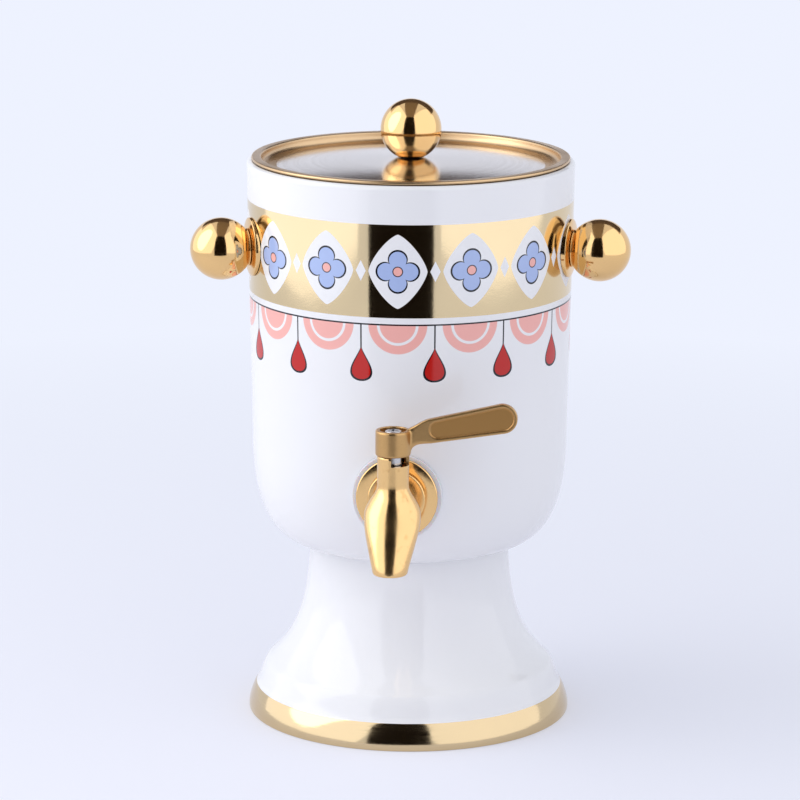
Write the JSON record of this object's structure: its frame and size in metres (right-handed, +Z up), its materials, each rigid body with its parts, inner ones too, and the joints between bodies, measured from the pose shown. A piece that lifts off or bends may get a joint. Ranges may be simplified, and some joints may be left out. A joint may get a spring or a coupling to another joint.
{
  "type": "drink dispenser",
  "caption": "Lidded ceramic drink dispenser on a separate flared stand, with a quarter-turn tap, ball handles and a lift-off lid.",
  "frame": {"origin": "on the table under the middle of the whole dispenser's box", "axes": "+Z up, the tap faces -Y, the shut lever points to +X"},
  "size_m": [0.2564, 0.2496, 0.3694],
  "materials": {
    "glaze": "white gloss glaze, gold lustre band on the foot and a printed frieze on the vessel",
    "polished_gold": "polished gold plate",
    "satin_gold": "satin gold plate",
    "lid_gold": "pale gold, turned brushing",
    "steel": "plain stainless",
    "silicone": "milky translucent silicone"
  },
  "bodies": {
    "stand": {"pedestal": "glaze"},
    "vessel": {"vessel_bowl": "glaze", "left_handle_ball": "polished_gold", "left_handle_rosette": "polished_gold", "left_handle_outer_washer": "silicone", "left_handle_inner_washer": "silicone", "left_handle_metal_washer": "steel", "left_handle_screw": "steel", "right_handle_ball": "polished_gold", "right_handle_rosette": "polished_gold", "right_handle_outer_washer": "silicone", "right_handle_inner_washer": "silicone", "right_handle_metal_washer": "steel", "right_handle_screw": "steel", "tap_outer_washer": "silicone", "tap_escutcheon": "polished_gold", "tap_inner_washer": "silicone", "tap_metal_washer": "steel", "tap_lock_nut": "steel", "tap_body": "polished_gold", "plug_clip": "steel"},
    "lid": {"lid_dish": "lid_gold", "lid_gasket": "silicone", "lid_knob": "polished_gold", "lid_washer": "steel", "lid_screw": "steel"},
    "tap_lever": {"tap_lever": "satin_gold", "lever_washer": "steel", "lever_screw": "steel", "valve_plug": "steel", "lower_seal_ring": "silicone", "upper_seal_ring": "silicone"}
  },
  "joints": [
    {"name": "vessel_lift", "type": "slide", "parent": "stand", "child": "vessel", "axis": [0, 0, 1], "range_m": [0, 0.1]},
    {"name": "lid_lift", "type": "slide", "parent": "vessel", "child": "lid", "axis": [0, 0, 1], "range_m": [0, 0.12]},
    {"name": "tap_turn", "type": "hinge", "parent": "vessel", "child": "tap_lever", "pos_m": [-0.00215, -0.09573, 0.1925], "axis": [0, 0, -1], "range_deg": [0, 90]}
  ]
}
